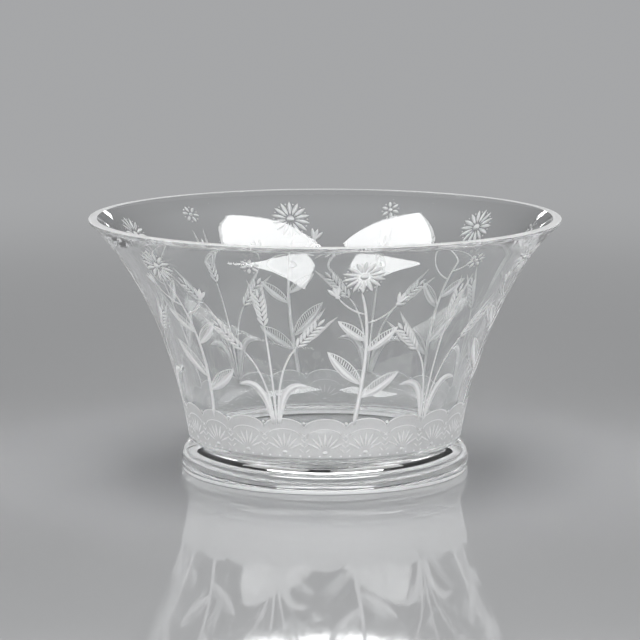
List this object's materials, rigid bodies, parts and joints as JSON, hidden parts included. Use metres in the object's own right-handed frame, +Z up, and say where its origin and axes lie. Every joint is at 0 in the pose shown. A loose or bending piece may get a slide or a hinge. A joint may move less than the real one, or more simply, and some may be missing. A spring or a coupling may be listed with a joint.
{
  "type": "glass bowl",
  "caption": "Clear blown-glass bowl: a round wall flaring to a flat-ground rim, over a flat floor, standing on a thick round glass foot.",
  "frame": {"origin": "middle of the foot's underside, on the plane that the bowl stands on", "axes": "+Z up along the axis of the bowl; X and Y are alike, because the bowl is round"},
  "size_m": [0.21, 0.21, 0.113],
  "materials": {
    "body_glass": "polished",
    "foot_glass": "polished",
    "ground_glass": "matte"
  },
  "bodies": {
    "root": {"bowl_body": "body_glass", "foot": "foot_glass"}
  },
  "joints": []
}
